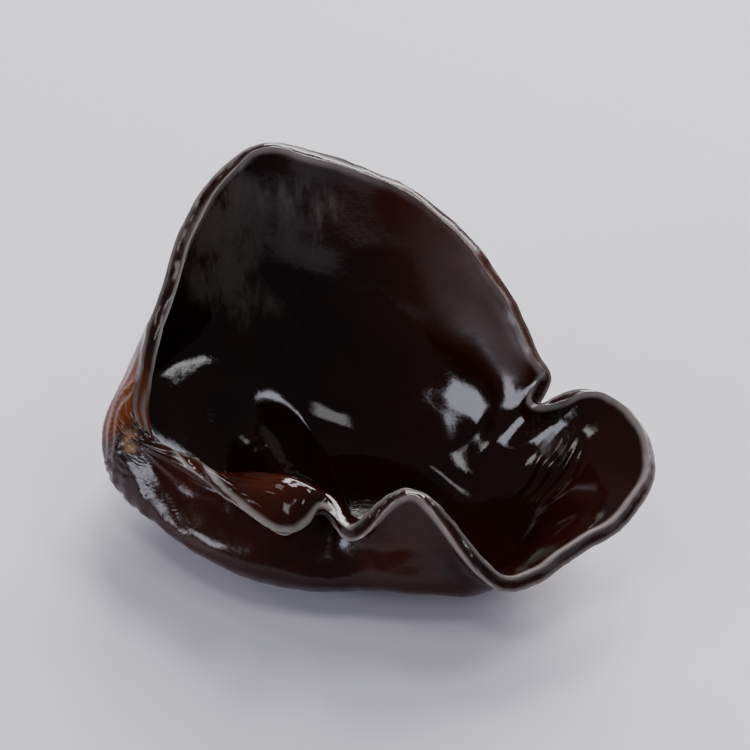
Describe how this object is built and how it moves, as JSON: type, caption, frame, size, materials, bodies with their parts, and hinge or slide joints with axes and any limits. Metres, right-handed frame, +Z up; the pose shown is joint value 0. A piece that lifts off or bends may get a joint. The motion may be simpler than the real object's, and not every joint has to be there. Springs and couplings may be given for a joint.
{
  "type": "wood ear mushroom",
  "caption": "Fresh wood ear mushroom: a thin, wet, dark brown sheet cupped into an ear, with a pleated rim, a rolled lip and a stubby stem.",
  "frame": {"origin": "on the flattened underside, in the plane the ear rests on, below the middle of the cup's floor", "axes": "+X towards the shallow lobe, away from the stem; +Y towards the high back wall; +Z up, out of the cup"},
  "size_m": [0.047, 0.0394, 0.0226],
  "materials": {
    "flesh": "wet, glossy, jelly-like"
  },
  "bodies": {
    "root": {"wood_ear": "flesh"}
  },
  "joints": []
}
